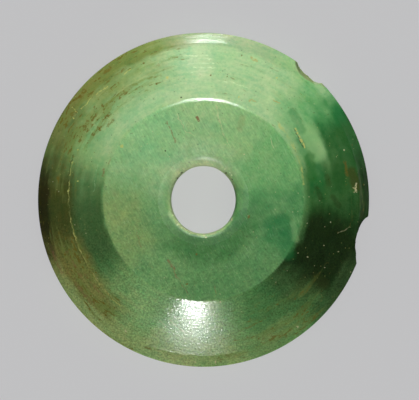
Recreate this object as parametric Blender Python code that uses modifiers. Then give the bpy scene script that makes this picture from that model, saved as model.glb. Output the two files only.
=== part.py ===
"""Spindle whorl of green stone, lying on its flat underside, as one closed solid.

A low disc is turned about its spindle hole: a flat upper face, a sloping flank
that swells a little, a steep bevel and a narrow band at the rim, an under-bevel
and a flat foot. Two old chips are broken out of the rim. Metres, +Z up, with the
origin at the middle of the underside.
"""

from math import copysign, cos, pi, radians, sin, sqrt, tan
from typing import NamedTuple

import bmesh
import bpy
from mathutils import Matrix, Vector


class Bite(NamedTuple):
    """One hollow of a chip: part of an ellipsoid that reaches into the rim."""

    azimuth: float      # direction round the axis from +X, in degrees
    depth: float        # how far in from the rim its deepest point lies
    rise: float         # height of its deepest point above the foot of the rim band
    half_inward: float  # the ellipsoid's half axis towards the axis of the disc
    half_along: float   # the ellipsoid's half axis along the rim
    half_upward: float  # the ellipsoid's upright half axis


class Corner(NamedTuple):
    """A corner of the half section and the fillet that rounds it, if any."""

    point: Vector
    radius: float = 0.0
    steps: int = 0


# Overall sizes. The outline is longer along Y than along X by its ovality.
RIM_DIAMETER = 0.0450
RIM_OVALITY = 0.0004
THICKNESS = 0.0090

# Spindle hole: narrowest at its waist, wider at both mouths, which are rounded over
HOLE_DIAMETER = 0.0089
HOLE_FLARE = 0.0003
WAIST_RADIUS = 0.0030
UPPER_LIP_RADIUS = 0.0017
LOWER_LIP_RADIUS = 0.0009

# Upper face and flank
FACE_DIAMETER = 0.0273
SHOULDER_RADIUS = 0.0005
FLANK_SWELL = 0.00015

# Rim, from the top down: bevel, upright band and under-bevel. The band's foot is at its level.
BEVEL_WIDTH = 0.00145
BEVEL_DROP = 0.00135
BEVEL_EDGE_RADIUS = 0.0003
BAND_HEIGHT = 0.0012
BAND_LEVEL = 0.0020
BAND_EDGE_RADIUS = 0.0003
FOOT_BEVEL_WIDTH = 0.0013
FOOT_EDGE_RADIUS = 0.0006

# Chips: each is two hollows that run into one another
UPPER_CHIP = (
    Bite(azimuth=50.7, depth=0.00110, rise=0.00225,
         half_inward=0.00200, half_along=0.00256, half_upward=0.0043),
    Bite(azimuth=48.1, depth=0.00091, rise=0.00180,
         half_inward=0.00160, half_along=0.00177, half_upward=0.0043),
)
LOWER_CHIP = (
    Bite(azimuth=346.9, depth=0.00155, rise=-0.0004,
         half_inward=0.00170, half_along=0.00320, half_upward=0.0040),
    Bite(azimuth=343.6, depth=0.00083, rise=-0.0002,
         half_inward=0.00110, half_along=0.00275, half_upward=0.0032),
)

# Fineness of the faceted solid
TURN_STEPS = 96
FILLET_STEPS = 3
LIP_STEPS = 6
FLANK_STEPS = 5
BITE_RINGS = 32
BITE_SEGMENTS = 40
MERGE_DISTANCE = 0.00001
SHARP_ANGLE = radians(30)

# Finish of the polished stone
STONE_COLOUR = (0.17, 0.36, 0.14, 1.0)
STONE_ROUGHNESS = 0.28
STONE_METALLIC = 0.0


def clear_scene():
    """Remove every object that the scene starts with."""
    for item in list(bpy.data.objects):
        bpy.data.objects.remove(item, do_unlink=True)


def make_collection(name):
    """A new collection of that name, linked to the scene."""
    collection = bpy.data.collections.new(name)
    bpy.context.scene.collection.children.link(collection)
    return collection


def stone_material():
    """The green stone's plain colour and polish."""
    stone = bpy.data.materials.new("green_stone")
    stone.use_nodes = True
    surface = stone.node_tree.nodes["Principled BSDF"]
    surface.inputs["Base Color"].default_value = STONE_COLOUR
    surface.inputs["Roughness"].default_value = STONE_ROUGHNESS
    surface.inputs["Metallic"].default_value = STONE_METALLIC
    return stone


def fillet(before, corner, after):
    """Points of the arc that rounds a corner and is tangent to both of its sides."""
    towards_before = (before - corner.point).normalized()
    towards_after = (after - corner.point).normalized()
    half_opening = towards_before.angle(towards_after) / 2
    inwards = (towards_before + towards_after).normalized()
    centre = corner.point + inwards * corner.radius / sin(half_opening)
    first = corner.point + towards_before * corner.radius / tan(half_opening) - centre
    sweep = copysign(pi - 2 * half_opening, towards_after.cross(towards_before))
    turns = [Matrix.Rotation(sweep * step / corner.steps, 2) for step in range(corner.steps + 1)]
    return [centre + turn @ first for turn in turns]


def swelling_arc(start, end, swell, steps):
    """Points strictly between two ends, on the arc that stands out from their chord by swell."""
    chord = end - start
    radius = (chord.length_squared / 4 + swell * swell) / (2 * swell)
    outwards = Vector((-chord.y, chord.x)).normalized()
    points = []
    for step in range(1, steps):
        offset = chord.length * (step / steps - 0.5)
        rise = sqrt(radius * radius - offset * offset) - (radius - swell)
        points.append(start + chord * step / steps + outwards * rise)
    return points


def section_corners():
    """The corners of half the section, as (distance from the axis, height).

    They run from the waist of the hole up to the upper face, out and down the flank
    and the rim, and back under the foot to the hole.
    """
    waist = HOLE_DIAMETER / 2
    mouth = waist + HOLE_FLARE
    rim = RIM_DIAMETER / 2
    band_top = BAND_LEVEL + BAND_HEIGHT
    shoulder = Vector((FACE_DIAMETER / 2, THICKNESS))
    bevel_edge = Vector((rim - BEVEL_WIDTH, band_top + BEVEL_DROP))
    flank = [Corner(point) for point in swelling_arc(shoulder, bevel_edge, FLANK_SWELL, FLANK_STEPS)]
    return [
        Corner(Vector((waist, THICKNESS / 2)), WAIST_RADIUS, FILLET_STEPS),
        Corner(Vector((mouth, THICKNESS)), UPPER_LIP_RADIUS, LIP_STEPS),
        Corner(shoulder, SHOULDER_RADIUS, FILLET_STEPS),
        *flank,
        Corner(bevel_edge, BEVEL_EDGE_RADIUS, FILLET_STEPS),
        Corner(Vector((rim, band_top)), BAND_EDGE_RADIUS, FILLET_STEPS),
        Corner(Vector((rim, BAND_LEVEL)), BAND_EDGE_RADIUS, FILLET_STEPS),
        Corner(Vector((rim - FOOT_BEVEL_WIDTH, 0.0)), FOOT_EDGE_RADIUS, FILLET_STEPS),
        Corner(Vector((mouth, 0.0)), LOWER_LIP_RADIUS, FILLET_STEPS),
    ]


def section_points():
    """The closed outline of half the section, with its corners rounded."""
    corners = section_corners()
    points = []
    for index, corner in enumerate(corners):
        if corner.steps:
            before = corners[index - 1].point
            after = corners[(index + 1) % len(corners)].point
            points += fillet(before, corner, after)
        else:
            points.append(corner.point)
    return points


def turned_mesh(points):
    """The mesh of the outline carried once round the Z axis."""
    outline = bpy.data.meshes.new("whorl_outline")
    edges = [(index, (index + 1) % len(points)) for index in range(len(points))]
    outline.from_pydata([(point.x, 0.0, point.y) for point in points], edges, [])
    blank = bpy.data.objects.new("whorl_blank", outline)
    bpy.context.scene.collection.objects.link(blank)
    turning = blank.modifiers.new("Turning", "SCREW")
    turning.axis = "Z"
    turning.angle = 2 * pi
    turning.steps = TURN_STEPS
    turning.render_steps = TURN_STEPS
    turning.use_merge_vertices = True
    turning.merge_threshold = MERGE_DISTANCE
    evaluated = blank.evaluated_get(bpy.context.evaluated_depsgraph_get())
    turned = bpy.data.meshes.new_from_object(evaluated)
    bpy.data.objects.remove(blank, do_unlink=True)
    bpy.data.meshes.remove(outline)
    return turned


def make_whorl(collection, stone):
    """The turned body, drawn out a little along Y, smooth but for its sharp lines."""
    body = turned_mesh(section_points())
    body.name = "whorl"
    stretch = RIM_OVALITY / (2 * RIM_DIAMETER)
    body.transform(Matrix.Diagonal((1 - stretch, 1 + stretch, 1.0, 1.0)))
    body.shade_smooth()
    body.set_sharp_from_angle(angle=SHARP_ANGLE)
    body.materials.clear()
    body.materials.append(stone)
    whorl = bpy.data.objects.new("whorl", body)
    collection.objects.link(whorl)
    return whorl


def cut_bite(whorl, bite, name, collection, stone):
    """Take one hollow of a chip out of the rim."""
    shape = bmesh.new()
    bmesh.ops.create_uvsphere(shape, u_segments=BITE_SEGMENTS, v_segments=BITE_RINGS, radius=1.0)
    half_axes = Matrix.Diagonal((bite.half_inward, bite.half_along, bite.half_upward, 1.0))
    bmesh.ops.transform(shape, matrix=half_axes, verts=shape.verts)
    mesh = bpy.data.meshes.new(name)
    shape.to_mesh(mesh)
    shape.free()
    mesh.shade_smooth()
    mesh.materials.append(stone)
    cutter = bpy.data.objects.new(name, mesh)
    azimuth = radians(bite.azimuth)
    reach = RIM_DIAMETER / 2 - bite.depth + bite.half_inward
    cutter.location = (reach * cos(azimuth), reach * sin(azimuth), BAND_LEVEL + bite.rise)
    cutter.rotation_euler = (0.0, 0.0, azimuth)
    cutter.hide_render = True
    cutter.display_type = "WIRE"
    collection.objects.link(cutter)
    cut = whorl.modifiers.new(name, "BOOLEAN")
    cut.operation = "DIFFERENCE"
    cut.solver = "EXACT"
    cut.object = cutter


def build():
    """Model the whorl and break its chips out."""
    clear_scene()
    parts = make_collection("spindle_whorl")
    cutters = make_collection("spindle_whorl_cutters")
    stone = stone_material()
    whorl = make_whorl(parts, stone)
    for chip_name, chip in (("upper_chip", UPPER_CHIP), ("lower_chip", LOWER_CHIP)):
        for number, bite in enumerate(chip, start=1):
            cut_bite(whorl, bite, f"{chip_name}_hollow_{number}", cutters, stone)


if __name__ == "__main__":
    build()
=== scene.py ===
"""Spindle whorl of polished green stone: its surface, its stone and the studio it lies in.

The whorl is one surface, worked out with numpy: the half section is carried once round the
spindle hole, drawn out a little along Y, and the two chips are taken out of its rim. The
colours of the stone are painted on its points as soft clouds, and the shader adds the
grain, the specks, the veins and the scratches. Metres, +Z up, as in the frame.
"""

from typing import NamedTuple

import bpy
import numpy as np
from bpy.props import FloatProperty, FloatVectorProperty, IntProperty, PointerProperty
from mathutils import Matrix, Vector


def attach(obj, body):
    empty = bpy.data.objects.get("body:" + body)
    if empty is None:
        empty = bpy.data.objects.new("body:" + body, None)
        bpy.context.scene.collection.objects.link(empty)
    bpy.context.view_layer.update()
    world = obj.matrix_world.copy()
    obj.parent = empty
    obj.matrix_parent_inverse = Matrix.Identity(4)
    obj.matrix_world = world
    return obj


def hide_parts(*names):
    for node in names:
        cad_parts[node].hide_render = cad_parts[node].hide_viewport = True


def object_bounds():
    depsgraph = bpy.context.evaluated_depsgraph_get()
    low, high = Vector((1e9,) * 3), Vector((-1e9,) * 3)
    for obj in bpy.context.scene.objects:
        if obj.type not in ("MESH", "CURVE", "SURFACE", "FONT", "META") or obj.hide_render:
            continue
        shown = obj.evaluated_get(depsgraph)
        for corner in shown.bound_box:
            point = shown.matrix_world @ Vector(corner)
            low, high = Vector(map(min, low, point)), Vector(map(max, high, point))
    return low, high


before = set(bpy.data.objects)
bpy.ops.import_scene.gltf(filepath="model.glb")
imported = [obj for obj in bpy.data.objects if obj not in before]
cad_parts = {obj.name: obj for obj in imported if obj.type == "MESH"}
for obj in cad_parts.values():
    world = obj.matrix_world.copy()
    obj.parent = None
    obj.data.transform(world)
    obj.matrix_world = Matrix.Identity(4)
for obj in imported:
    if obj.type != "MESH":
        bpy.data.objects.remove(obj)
CAD_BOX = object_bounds()

bl_info = {
    "name": "Spindle Whorl",
    "version": (1, 0, 0),
    "blender": (4, 5, 0),
    "location": "View3D > Sidebar > Whorl",
    "description": "Builds a chipped spindle whorl of polished green stone and its studio",
    "category": "Object",
}

NODE = "whorl"
MM = 0.001

# The frame gives the overall sizes of the whorl
CAD_WIDTH, CAD_DEPTH, CAD_HEIGHT = CAD_BOX[1] - CAD_BOX[0]


class Bite(NamedTuple):
    """One hollow of a chip: part of an ellipsoid that reaches into the rim.

    Its direction is in degrees, its sizes in millimetres, and its rise is over the band's foot.
    """

    azimuth: float
    depth: float
    rise: float
    half_inward: float
    half_along: float
    half_upward: float


class Cloud(NamedTuple):
    """A soft cloud in the stone, in degrees round and millimetres out.

    It reaches past the rim unless it says otherwise.
    """

    azimuth: float
    half_turn: float
    turn_edge: float
    inner: float
    inner_edge: float
    strength: float
    outer: float = 24.0
    outer_edge: float = 1.0


class Stroke(NamedTuple):
    """A scratch, vein or fleck: a straight line with round ends, in millimetres from the axis."""

    start_x: float
    start_y: float
    end_x: float
    end_y: float
    width: float
    strength: float


class Streak(NamedTuple):
    """A line that runs round the hole, in degrees and millimetres."""

    first: float
    last: float
    first_radius: float
    last_radius: float
    width: float
    strength: float


class Lamp(NamedTuple):
    """An oval lamp, placed by the direction in which the stone mirrors it.

    A sheen lamp shows only in the polish, and a fill lamp, as through a polariser, doesn't.
    Angles are in degrees, the distance in metres and the spot it faces in millimetres.
    """

    name: str
    kind: str
    azimuth: float
    zenith: float
    distance: float
    across: float
    tall: float
    radiance: float
    aim_radius: float
    aim_height: float


# The upper chip's two hollows with a shallow scar beside them, and the right chip's two
CHIPS = (
    Bite(50.7, 1.10, 2.25, 2.00, 2.56, 4.3),
    Bite(48.1, 0.91, 1.80, 1.60, 1.77, 4.3),
    Bite(44.6, 0.30, 2.40, 0.90, 1.60, 3.0),
    Bite(346.9, 1.55, -0.4, 1.70, 3.20, 4.0),
    Bite(343.6, 0.83, -0.2, 1.10, 2.75, 3.2),
)

# The colours laid over the ground, each with the numbers of its Cloud, by the side they keep to
PATCHES = {
    "flank": (
        # The pale upper flank and the greens of the lower one
        ("mint", 88, 62, 40, 13.3, 0.6, 0.95),
        ("leaf", 252, 32, 34, 13.3, 0.6, 0.9),
        ("jade", 246, 13, 16, 13.3, 0.6, 0.6, 20.5, 3),
        # Deep green low on the right flank, partly painted shade of that side
        ("forest_and_shade", 315, 14, 24, 13.3, 0.6, 0.5, 20, 4),
        ("umber", 322, 10, 14, 16.5, 3, 0.35, 21.5, 2),
        # The dark left side, darkened partly as painted shade of the flank that faces away from the lamps,
        # and its brown rim
        ("moss", 138, 32, 24, 16.2, 2.4, 0.45),
        ("fern", 256, 10, 12, 13.2, 0.6, 0.35, 16.6, 1.6),
        ("olive", 147, 33, 24, 18.4, 2.6, 0.62),
        ("forest_and_shade", 192, 22, 28, 13.3, 0.6, 0.95),
        ("umber", 189, 20, 20, 17.6, 2.4, 0.9),
        ("russet", 216, 18, 20, 17.2, 2, 0.78, 21.8, 1.5),
        ("olive", 118, 22, 12, 20.9, 0.7, 0.8),
        ("umber", 128, 16, 14, 20.9, 0.7, 0.22),
        ("russet", 142, 14, 12, 20.9, 0.7, 0.6),
        ("russet", 207, 14, 16, 20.7, 0.8, 0.8),
        ("pear", 243, 38, 30, 20.9, 0.6, 0.9),
        ("mint", 258, 10, 14, 20.9, 0.6, 0.65),
        ("umber", 158, 14, 16, 19.8, 1.8, 0.48),
        ("leaf", 57, 14, 12, 20.9, 0.6, 0.5),
        ("pear", 258, 24, 20, 18.8, 2, 0.62),
        ("char", 184, 16, 16, 20.8, 0.8, 0.88),
        # The right side, from emerald to almost black; the near-black lower flank is partly painted shade
        ("pine", 0, 17, 18, 13.8, 1.2, 0.92),
        ("clover", 37, 12, 18, 14.4, 1.6, 0.42),
        ("emerald", 29, 9, 13, 18, 2, 0.82),
        ("emerald", 20, 14, 12, 14.4, 0.9, 0.5, 16.4, 0.9),
        ("clover", 44, 9, 14, 16.6, 2, 0.35, 21.5, 2),
        ("emerald", 28, 10, 12, 13.5, 0.6, 0.28, 15.2, 1),
        ("emerald", 25, 13, 12, 20.7, 0.8, 0.85),
        ("pine", 18, 13, 12, 17.8, 1.5, 0.85),
        ("night_and_shade", 337, 17, 19, 13.4, 1, 0.97, 22.9, 2),
        ("fern", 358, 18, 14, 13.2, 0.4, 0.38, 14.3, 0.7),
        ("night_and_shade", 318, 10, 12, 13.2, 0.6, 0.42, 16.2, 3),
        ("night_and_shade", 0, 14, 12, 21.1, 0.5, 0.7),
        ("forest_and_shade", 327, 12, 12, 20.8, 0.7, 0.6),
        ("pear", 298, 10, 14, 19.4, 1.8, 0.42),
        # Greyer green where the upper rim lamp's highlight falls, partly a painted highlight
        ("sage_and_sheen", 82, 20, 12, 20.9, 0.6, 0.6),
    ),
    "face": (
        ("moss", 198, 24, 18, 8.4, 3, 0.75, 14.2, 0.4),
        ("mint", 120, 44, 40, 5.6, 1, 0.34, 14.2, 0.4),
        ("meadow", 132, 20, 30, 7, 2, 0.32, 14.2, 0.4),
        ("leaf", 240, 18, 26, 8, 2.5, 0.28, 14.2, 0.4),
        ("clover", 22, 24, 24, 6, 1.5, 0.42, 14.2, 0.5),
        ("emerald", 347, 22, 22, 5.8, 2, 0.5, 14.2, 0.5),
        ("emerald", 339, 9, 10, 9.2, 1.6, 0.42, 12.4, 2.4),
        ("spruce", 282, 56, 50, 4.9, 0.5, 0.65, 8.3, 2),
        # The lip of the hole; the lime round its edge is painted light, a glow of light through the stone
        ("emerald", 350, 34, 24, 3, 0.6, 0.32, 6.2, 1.2),
        ("mint", 108, 58, 50, 3, 1, 0.52, 7.6, 3),
        ("lime_painted_light", 172, 150, 20, 3, 0.2, 0.36, 4.85, 0.4),
        ("lime_painted_light", 92, 44, 36, 3, 0.2, 0.6, 5.6, 1.2),
    ),
    "break": (
        ("bark", 50, 7, 3, 15, 1, 0.95),
        ("pear", 43, 3.5, 2, 15, 1, 0.8),
        ("night_and_shade", 346, 14, 4, 15, 1, 0.95),
    ),
}

# Where rust specks gather, as the numbers of a Cloud
RUST_CLOUDS = (
    (140, 22, 24, 15.5, 3, 0.8, 22, 2),
    (112, 16, 16, 16.5, 3, 0.55, 22.5, 2),
    (165, 16, 20, 17, 2, 0.75, 22, 2),
    (212, 22, 16, 17.6, 1, 1, 22, 2),
    (130, 26, 14, 20.6, 1, 0.95, 23, 0.6),
    (300, 26, 24, 17, 3, 0.65, 22.5, 2),
    (298, 20, 20, 15, 2, 0.5, 20, 2),
    (250, 16, 20, 20.6, 1, 0.55, 23, 0.6),
    (62, 26, 20, 13.5, 2, 0.2, 20, 3),
    (6, 12, 12, 19.6, 1.2, 0.35, 22, 1),
)

# The order in which the marks are laid over the stone
MARK_COLOURS = (
    "jade", "spruce", "moss", "olive", "emerald", "mint", "lime_painted_light",
    "umber", "rust", "ochre", "clay", "char", "straw", "cream",
)

# Marks narrower than this, in millimetres, are broken up by fine noise
BROKEN_BELOW = 0.8

# The numbers of each Stroke, by colour
STROKES = {
    # Greens at the right
    "jade": ((12, -3.2, 12.4, -5.4, 1.1, 0.3), (14.3, 9, 15.3, 6.3, 2.8, 0.58)),
    "spruce": ((14.3, 5.8, 14.6, 3, 1.6, 0.6), (13.4, 13.6, 15.6, 12.6, 1.8, 0.12)),
    "emerald": (
        (8.8, -3.2, 11, -2.6, 1.9, 0.5), (11, -4.4, 11.4, -7.2, 2.3, 0.52),
        (9.6, 0.9, 12.2, 0.4, 2, 0.25), (12, 11.8, 13.2, 9.4, 1.4, 0.4),
    ),
    "mint": ((15.2, 15.7, 16.2, 14.7, 0.9, 0.65),),
    # Brown stains, and rusty and orange flecks
    "umber": ((20, 3.8, 20.6, 1.8, 1.5, 0.7), (15.2, -10.4, 16.4, -11.4, 1.6, 0.18)),
    "rust": (
        (-13.2, 11.1, -12.6, 11.6, 0.46, 0.85), (-15, 10.8, -14.5, 11.6, 0.4, 0.75),
        (-14.1, 9.6, -13.9, 9.4, 0.36, 0.85), (-13.7, 12.8, -13.5, 12.6, 0.34, 0.8),
        (-13.4, 17.2, -12.5, 17.8, 0.52, 0.7), (-16.7, 13.8, -16.1, 14.7, 0.62, 0.75),
        (-17.9, 11.4, -17.2, 11.9, 0.5, 0.55), (-12.9, 9.9, -12.2, 10.7, 0.44, 0.6),
        (-16.2, 9.9, -15.6, 10.6, 0.46, 0.6), (19.1, 5, 19.4, 3.2, 0.44, 0.75),
        (-7.9, -20, -7.1, -20.2, 0.34, 0.6),
    ),
    "ochre": (
        (6.4, 19.2, 7.1, 18.7, 0.34, 0.65), (6.2, 13.4, 7, 13.2, 0.28, 0.6),
        (9.4, 13.4, 10.3, 13, 0.22, 0.6),
    ),
    # Reddish veins in the face and beside it
    "clay": (
        (-4.9, 10.6, -3.8, 7.9, 0.26, 0.55), (-3.9, 8.2, -3.7, 7.8, 0.42, 0.55),
        (-0.9, 11.2, -0.7, 10.7, 0.42, 0.9), (5.2, 11, 4.9, 9.6, 1.1, 0.22),
        (-4.7, -8.1, -4, -9.3, 0.34, 0.65), (-4, -9.3, -3.6, -10.4, 0.24, 0.5),
        (-3.6, -10.4, -2.1, -12.6, 0.16, 0.35), (-9, -4.4, -8.4, -6.3, 0.17, 0.45),
        (1.4, -11.6, 1.7, -12.7, 0.16, 0.45), (-13.4, 4.1, -13.5, 3.2, 0.34, 0.6),
        (-12.4, 5.7, -12.8, 4.9, 0.2, 0.4),
    ),
    # The dark lip of a slit in the right flank, and dark stains below it
    "char": (
        (12.2, 9.6, 13.4, 7, 0.24, 0.55), (15.2, 1.6, 15.8, 0.2, 0.85, 0.34),
        (17.4, 0.4, 18.2, -0.8, 0.9, 0.34), (16.6, 3.2, 16.9, 2.1, 0.8, 0.28),
    ),
    # Scratches on the upper left flank, and the yellow lip of the slit
    "straw": (
        (-16.5, 12.3, -15.6, 13.2, 0.16, 0.6), (-15.6, 13.2, -15, 14.1, 0.14, 0.5),
        (-14.5, 14.3, -12.9, 15.4, 0.15, 0.55), (-17.8, 12.5, -17, 11.8, 0.14, 0.5),
        (-10.6, 17, -9.8, 17.6, 0.16, 0.5), (12.4, 9.6, 13.65, 7, 0.3, 0.9),
    ),
    # Pale scratches
    "cream": (
        (-3.6, 11.5, -2.3, 9.1, 0.16, 0.45), (-2.3, 9.1, -1.4, 8.7, 0.14, 0.4),
        (1.7, 12.8, 2, 11, 0.16, 0.5), (2, 11, 2.6, 9.1, 0.15, 0.5), (2.6, 9.1, 3.4, 7.4, 0.14, 0.45),
        (9, 8.3, 9.4, 7, 0.15, 0.45), (20.6, 2.3, 20.4, 1.1, 0.24, 0.9),
        (20.3, 1.7, 20.7, 1.1, 0.18, 0.7), (18.2, -4.6, 19, -4.1, 0.13, 0.4),
        # The second stroke on this line and the one below cross the lower sheen; their pale colour is
        # partly painted glint
        (19, -4.1, 19.9, -3.6, 0.12, 0.35), (-5.8, -16.2, -5.1, -17.4, 0.15, 0.45),
        (-4.7, -16.1, -2.2, -18.1, 0.15, 0.45),
    ),
}

# Round flecks by colour, as x, y and width in millimetres
FLECKS = {
    # Lime flecks round the hole's lip are painted glints
    "lime_painted_light": (
        (-2.7, 4.1, 0.34), (2.9, 4.1, 0.3), (3.8, 3.3, 0.38), (3.6, 3.6, 0.24), (-4.1, -2.1, 0.3),
        (-3.4, -3.3, 0.38), (-3, -3.8, 0.26),
    ),
    "rust": (
        (-6.3, 15.7, 0.32), (-8.1, 18.4, 0.3), (5.2, 19.5, 0.26), (1, 16.8, 0.24), (3.2, 16.7, 0.22),
        (-2.2, -11.3, 0.34), (-0.9, -7.3, 0.28), (6.1, -2.3, 0.42), (-13.2, -15.6, 0.38),
        (-14.5, -9.8, 0.3),
    ),
    "char": (
        (-5.2, 6.5, 0.26), (-3, 13.7, 0.28), (-2.9, 3.6, 0.3), (-3.5, 2.9, 0.24), (3, 3.6, 0.28),
        (3.8, 2.7, 0.24),
    ),
    "straw": (
        (-16.9, 6.7, 0.26), (-16.9, 2.5, 0.3), (-17.6, 11, 0.28), (-11, 7.2, 0.48), (-18.2, 1.2, 0.34),
        (4.7, 13.8, 0.26), (9.8, 16.4, 0.3), (-4.9, 16.5, 0.4),
    ),
    "cream": (
        (5.4, 6.2, 0.24), (14, -3.1, 0.14), (17.1, -3, 0.15), (16.3, -3.5, 0.12), (16.3, -6.2, 0.17),
        (12.7, -7.2, 0.14), (14, -7.7, 0.17), (18.2, -7, 0.14), (16.4, -9.2, 0.19), (19.9, -9.8, 0.17),
        (12.7, -17.2, 0.28), (1.6, -22, 0.34), (-10.5, -17.7, 0.26), (-1.1, -21.9, 0.26),
        (2.3, -13.7, 0.26), (18.9, 6.6, 0.24), (0.1, -4.8, 0.3), (0.3, -5.1, 0.24), (3.9, -2.6, 0.26),
        (-1.9, -4.5, 0.26),
    ),
}

# The numbers of each Streak, by colour
STREAKS = {
    # Olive strings through the upper left flank
    "moss": ((100, 128, 19.7, 19.4, 0.36, 0.55),),
    "olive": (
        (108, 138, 17.85, 18.3, 0.46, 0.62), (116, 148, 16.6, 17.1, 0.36, 0.45),
        (108, 150, 21.2, 21.4, 0.9, 0.35),
    ),
    # A green and a pale line in the left flank, and turning marks at the top painted as the highlights they
    # catch
    "emerald": ((138, 152, 17.6, 17.9, 0.4, 0.25),),
    "mint": ((161, 176, 15, 14.7, 0.14, 0.4),),
    "lime_painted_light": (
        (88, 98, 19.5, 19.55, 0.16, 0.52), (86, 96, 19.05, 19.1, 0.15, 0.45),
        (85, 97, 18.4, 18.45, 0.16, 0.52), (84, 95, 17.9, 17.85, 0.16, 0.52),
        (88, 97, 17.3, 17.3, 0.15, 0.42), (68, 83, 16.2, 16.2, 0.15, 0.55),
    ),
    # The dark line beside the groove, stains at the left rim, and painted shadow on parts of the hole's
    # outline, where its wall lies in shade
    "umber": (
        (160, 186, 18.55, 18.35, 0.22, 0.6), (186, 214, 18.3, 18.1, 0.26, 0.6),
        (118, 165, 4.56, 4.6, 0.22, 0.4),
    ),
    "rust": ((120, 138, 20.6, 20.4, 0.3, 0.6),),
    "clay": (
        (200, 213, 19.7, 19.5, 0.5, 0.42), (206, 224, 20.7, 20.4, 0.6, 0.4),
        (211, 227, 18.9, 18.7, 0.4, 0.36), (196, 208, 21.6, 21.5, 0.5, 0.4),
        (18, 50, 4.58, 4.62, 0.22, 0.35),
    ),
    # The filled groove, the yellow line along the right shoulder, and the hole's lower edge, painted light
    # as a glow of light through the stone
    "straw": (
        (163, 184, 18.35, 18.15, 0.14, 0.5), (184, 212, 18.15, 17.9, 0.18, 0.65),
        (212, 234, 17.9, 18.2, 0.14, 0.5), (26, 46, 14, 14.3, 0.4, 0.5), (8, 26, 13.6, 14, 0.34, 0.5),
    ),
    "cream": ((208, 305, 4.62, 4.62, 0.34, 0.55),),
}

# Scattered specks: colour, a cell's size in millimetres, share of cells without one, reach in cells
# and strength
SPECKS = (
    ("cream", 0.75, 0.84, 0.14, 0.5),
    ("straw", 0.55, 0.78, 0.18, 0.3),
    ("char", 0.65, 0.8, 0.18, 0.45),
    ("umber", 0.5, 0.75, 0.22, 0.25),
)

LAMPS = (
    Lamp("lower_sheen", "sheen", 264.8, 53.6, 0.3, 6.4, 6.8, 54, 14.6, 8.5),
    Lamp("lower_bloom", "sheen", 265, 55.2, 0.305, 10.2, 11.2, 11.5, 14.6, 8.5),
    Lamp("lower_glow", "sheen", 265.5, 60, 0.31, 16, 18, 3.9, 14.6, 8.5),
    Lamp("lower_halo", "sheen", 266, 62, 0.32, 30, 24, 1.8, 14.6, 8.5),
    Lamp("upper_arc", "sheen", 87, 34, 0.3, 11, 26, 16, 13.5, 9),
    Lamp("upper_arc_glow", "sheen", 87, 34, 0.305, 18, 28, 5, 13.5, 9),
    Lamp("upper_arc_ends", "sheen", 87, 34, 0.31, 27, 30, 1.8, 13.5, 9),
    Lamp("upper_streaks", "sheen", 93.5, 64, 0.3, 13, 2.5, 9, 18, 6),
    Lamp("upper_rim", "sheen", 89, 83, 0.05, 19, 7, 19, 21.7, 3.9),
    Lamp("right_card", "sheen", 12, 84, 0.3, 44, 8, 0.45, 21.5, 4),
    Lamp("upper_key", "fill", 89, 52, 0.13, 50, 40, 6, 6, 6),
    Lamp("lower_key", "fill", 268, 60, 0.25, 50, 30, 3.2, 6, 6),
)

# The broad lamp above, the only one that lights the floor as well
OVERHEAD = Lamp("overhead", "both", 0, 0, 0.9, 60, 60, 0.25, 0, 0)

# Steps of the arcs of the section, and points in the straight runs that follow them
EDGE_STEPS = 4
SHOULDER_STEPS = 7
LIP_STEPS = 15
RUN_POINTS = (3, 22, 0, 0, 10, 5, 7, 9, 4)

# The flank's points, as shares of the way down it, closer together at the groove
FLANK_SHARES = np.sort(np.concatenate([np.linspace(0.075, 0.985, 30), np.linspace(0.565, 0.625, 6)]))

# Edges between faces that meet at more than this, in degrees, stay sharp
SHARP_ANGLE = 38

# The circle that patterns drawn out round the hole are measured on
RING_RADIUS = 4.5 * MM

# Slight irregularities of the hole's edge, and of the bevel's inner line along X and along Y
EDGE_WAVER = 0.025 * MM
NICK_DEPTH = 0.06 * MM
BEVEL_DRIFT = (0.17 * MM, 0.08 * MM)

# How much lower the bevel's inner line lies for each length that it moves outwards
RIM_FALL = 0.66

# The groove in the left flank, with its ends and the length of their fade in degrees
GROOVE_RADIUS = 18.05 * MM
GROOVE_WANDER = 0.12 * MM
GROOVE_HALF_WIDTH = 0.17 * MM
GROOVE_FIRST, GROOVE_LAST, GROOVE_FADE = 168, 226, 14

# How far the borders of the clouds wander, in degrees round at 10 mm from the axis and outwards,
# how far the border of the ground does, and how much the clouds fray
TURN_WANDER = 5.0
RADIUS_WANDER = 0.45 * MM
GROUND_WANDER = 1.5 * MM
FRAYING = 0.55

# The picture's width, and how far left of its middle and above it the axis stands, in pixels
PICTURE_WIDTH = 419
AXIS_LEFT = 5.95
AXIS_UP = 0.2


def length(name, default, description):
    """A length among the settings, in metres."""
    return FloatProperty(name=name, description=description, default=default, unit="LENGTH")


def number(name, default, description):
    """A plain number among the settings."""
    return FloatProperty(name=name, description=description, default=default)


def tone(name, default, description):
    """A colour of the stone, in linear values."""
    return FloatVectorProperty(name=name, description=description, default=default, subtype="COLOR")


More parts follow.
